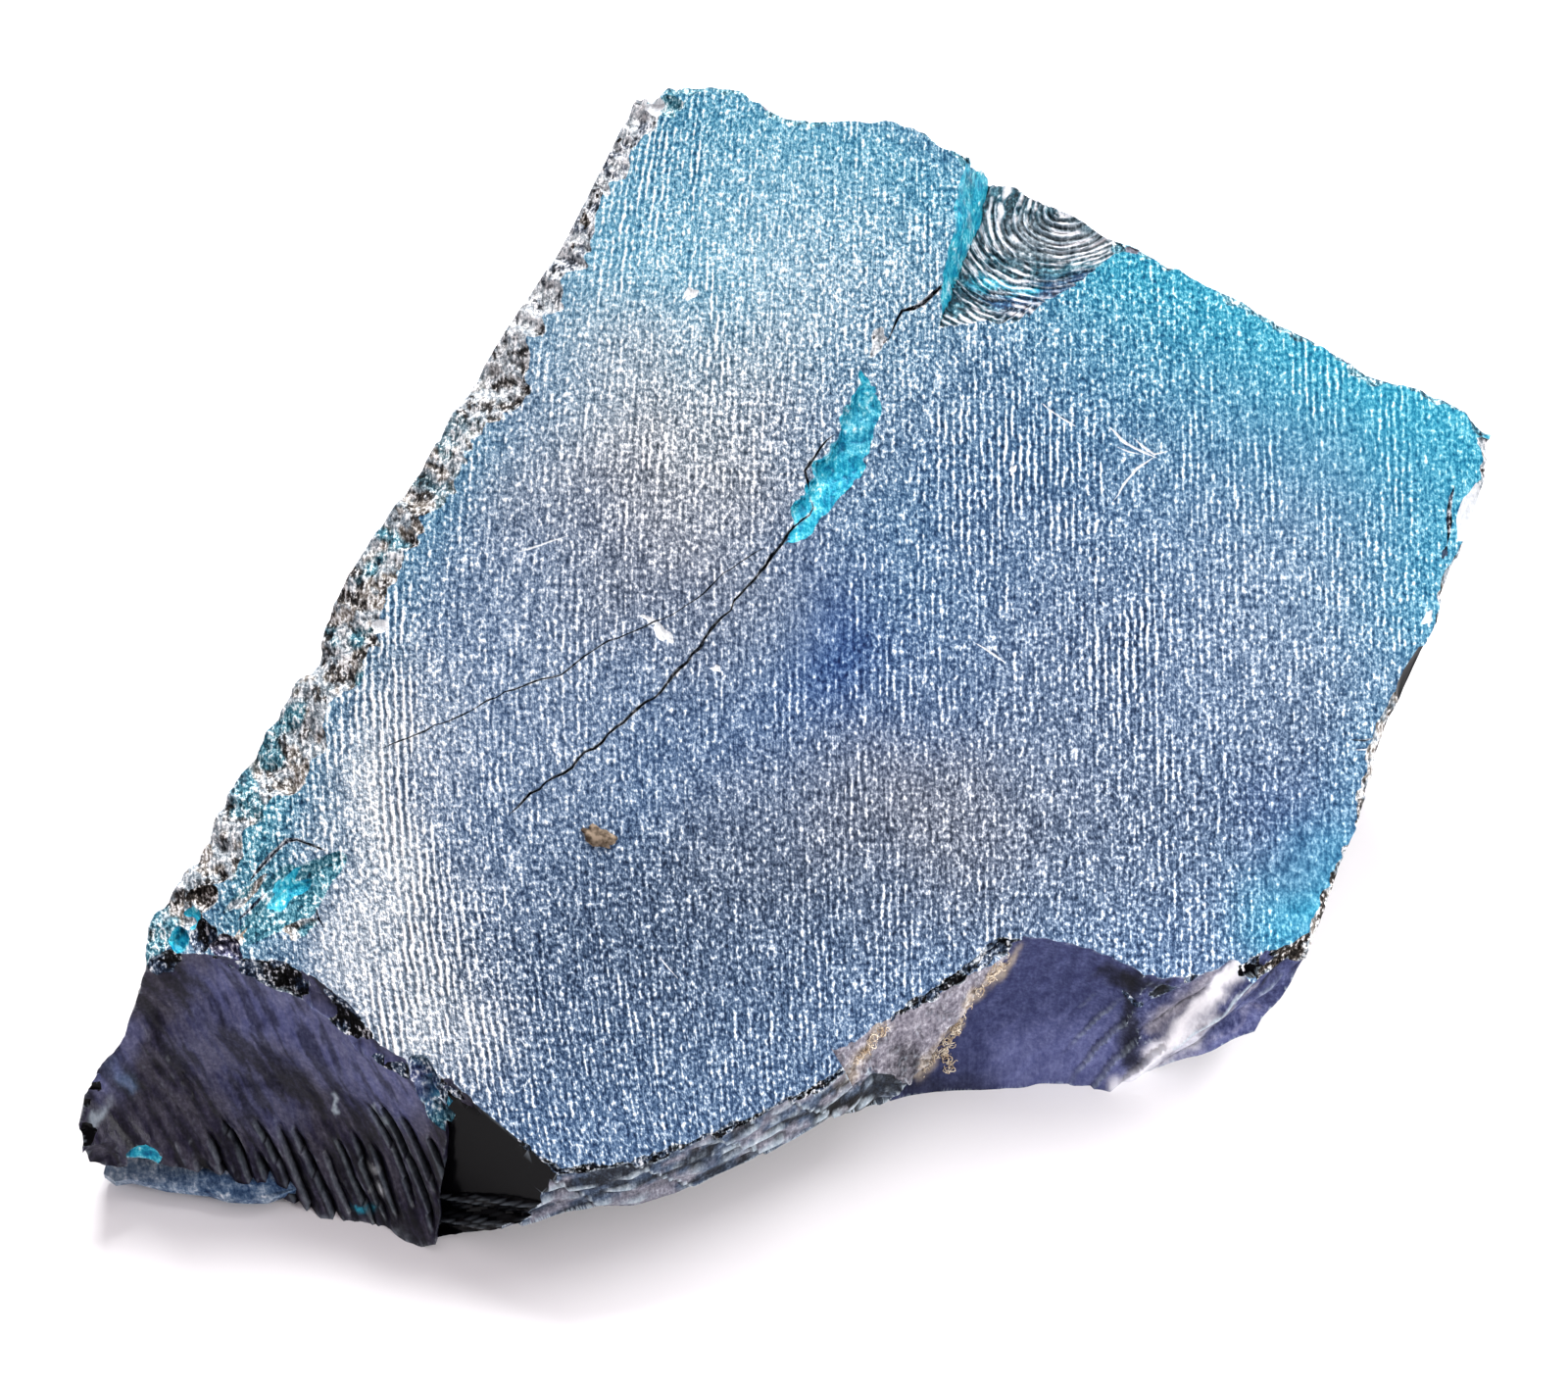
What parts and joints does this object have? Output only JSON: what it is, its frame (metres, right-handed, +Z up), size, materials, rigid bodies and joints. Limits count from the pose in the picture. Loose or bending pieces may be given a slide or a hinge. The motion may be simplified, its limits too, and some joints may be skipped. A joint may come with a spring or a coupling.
{
  "type": "rough zircon",
  "caption": "Broken lump of dense blue glassy mineral, sawn flat across the top and fractured all round, lying loose on its own flat underside.",
  "frame": {"origin": "middle of the bounding box at the height of the table it rests on", "axes": "+X to the right along the long way of the sawn face, +Y to the back, away from the face's lean, +Z up"},
  "size_m": [0.0518, 0.041, 0.0222],
  "materials": {
    "zircon": "sawn and frosted on top, glassy where it is broken"
  },
  "bodies": {
    "root": {"rough_zircon": "zircon"}
  },
  "joints": []
}
